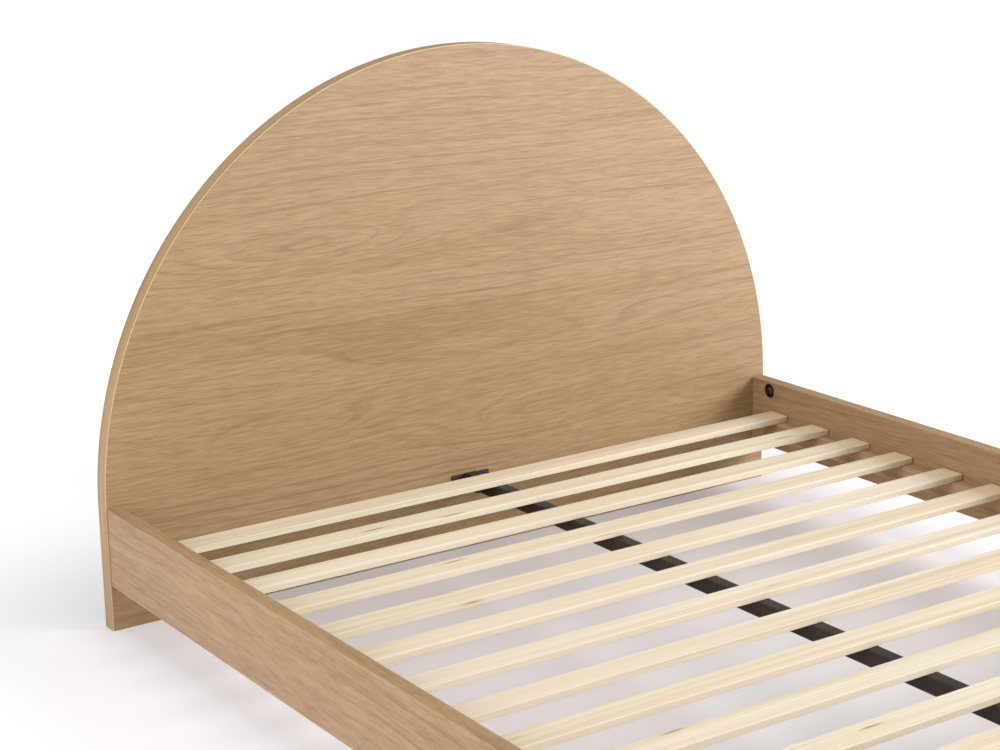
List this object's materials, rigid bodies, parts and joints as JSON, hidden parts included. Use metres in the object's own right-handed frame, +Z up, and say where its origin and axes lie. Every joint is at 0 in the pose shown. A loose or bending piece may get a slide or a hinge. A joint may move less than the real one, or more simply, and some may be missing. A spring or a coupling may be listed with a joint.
{
  "type": "bed frame",
  "caption": "Wooden bed frame with a half-round headboard, low side rails, a foot panel, loose slats on wooden ledgers and a steel centre beam, held by turning cam locks.",
  "frame": {"origin": "on the floor, midway between the two sides and midway between the outer faces of the headboard and the foot panel", "axes": "+Z up, +Y towards the headboard, +X to the right of somebody who faces the headboard"},
  "size_m": [1.6, 2.108, 1.037],
  "materials": {
    "oak_laminate": "satin oak-look laminate with fine horizontal grain",
    "oak_edge_band": "satin oak-look edge banding, grain along its length",
    "slat_wood": "pale unfinished planed softwood",
    "ledger_wood": "brown stained wood, matt",
    "dowel_wood": "raw hardwood",
    "black_steel": "black powder coat, satin",
    "zinc_fastener": "zinc plated"
  },
  "bodies": {
    "bed_frame": {"headboard_panel": "oak_laminate", "headboard_edge_band": "oak_edge_band", "foot_panel": "oak_laminate", "foot_panel_edge_band": "oak_edge_band", "left_side_rail": "oak_laminate", "left_slat_ledger": "ledger_wood", "right_side_rail": "oak_laminate", "right_slat_ledger": "ledger_wood", "slat_01": "slat_wood", "slat_02": "slat_wood", "slat_03": "slat_wood", "slat_04": "slat_wood", "slat_05": "slat_wood", "slat_06": "slat_wood", "slat_07": "slat_wood", "slat_08": "slat_wood", "slat_09": "slat_wood", "slat_10": "slat_wood", "slat_11": "slat_wood", "slat_12": "slat_wood", "slat_13": "slat_wood", "slat_14": "slat_wood", "slat_15": "slat_wood", "centre_beam": "black_steel", "head_beam_bracket": "black_steel", "head_bracket_left_screw": "zinc_fastener", "head_bracket_right_screw": "zinc_fastener", "foot_beam_bracket": "black_steel", "foot_bracket_left_screw": "zinc_fastener", "foot_bracket_right_screw": "zinc_fastener", "head_beam_bolt": "black_steel", "head_beam_nut": "black_steel", "foot_beam_bolt": "black_steel", "foot_beam_nut": "black_steel", "head_left_upper_cam_bolt": "zinc_fastener", "head_left_lower_cam_bolt": "zinc_fastener", "head_right_upper_cam_bolt": "zinc_fastener", "head_right_lower_cam_bolt": "zinc_fastener", "foot_left_upper_cam_bolt": "zinc_fastener", "foot_left_lower_cam_bolt": "zinc_fastener", "foot_right_upper_cam_bolt": "zinc_fastener", "foot_right_lower_cam_bolt": "zinc_fastener", "head_left_dowel": "dowel_wood", "head_right_dowel": "dowel_wood", "foot_left_dowel": "dowel_wood", "foot_right_dowel": "dowel_wood"},
    "head_left_upper_cam": {"head_left_upper_cam_lock": "zinc_fastener"},
    "head_left_lower_cam": {"head_left_lower_cam_lock": "zinc_fastener"},
    "head_right_upper_cam": {"head_right_upper_cam_lock": "zinc_fastener"},
    "head_right_lower_cam": {"head_right_lower_cam_lock": "zinc_fastener"},
    "foot_left_upper_cam": {"foot_left_upper_cam_lock": "zinc_fastener"},
    "foot_left_lower_cam": {"foot_left_lower_cam_lock": "zinc_fastener"},
    "foot_right_upper_cam": {"foot_right_upper_cam_lock": "zinc_fastener"},
    "foot_right_lower_cam": {"foot_right_lower_cam_lock": "zinc_fastener"}
  },
  "joints": [
    {"name": "head_left_upper_cam_turn", "type": "hinge", "parent": "bed_frame", "child": "head_left_upper_cam", "pos_m": [-0.771, 0.966, 0.218], "axis": [1, 0, 0], "range_deg": [0, 165]},
    {"name": "head_left_lower_cam_turn", "type": "hinge", "parent": "bed_frame", "child": "head_left_lower_cam", "pos_m": [-0.771, 0.966, 0.123], "axis": [1, 0, 0], "range_deg": [0, 165]},
    {"name": "head_right_upper_cam_turn", "type": "hinge", "parent": "bed_frame", "child": "head_right_upper_cam", "pos_m": [0.771, 0.966, 0.218], "axis": [-1, 0, 0], "range_deg": [0, 165]},
    {"name": "head_right_lower_cam_turn", "type": "hinge", "parent": "bed_frame", "child": "head_right_lower_cam", "pos_m": [0.771, 0.966, 0.123], "axis": [-1, 0, 0], "range_deg": [0, 165]},
    {"name": "foot_left_upper_cam_turn", "type": "hinge", "parent": "bed_frame", "child": "foot_left_upper_cam", "pos_m": [-0.771, -0.966, 0.218], "axis": [1, 0, 0], "range_deg": [0, 165]},
    {"name": "foot_left_lower_cam_turn", "type": "hinge", "parent": "bed_frame", "child": "foot_left_lower_cam", "pos_m": [-0.771, -0.966, 0.123], "axis": [1, 0, 0], "range_deg": [0, 165]},
    {"name": "foot_right_upper_cam_turn", "type": "hinge", "parent": "bed_frame", "child": "foot_right_upper_cam", "pos_m": [0.771, -0.966, 0.218], "axis": [-1, 0, 0], "range_deg": [0, 165]},
    {"name": "foot_right_lower_cam_turn", "type": "hinge", "parent": "bed_frame", "child": "foot_right_lower_cam", "pos_m": [0.771, -0.966, 0.123], "axis": [-1, 0, 0], "range_deg": [0, 165]}
  ]
}
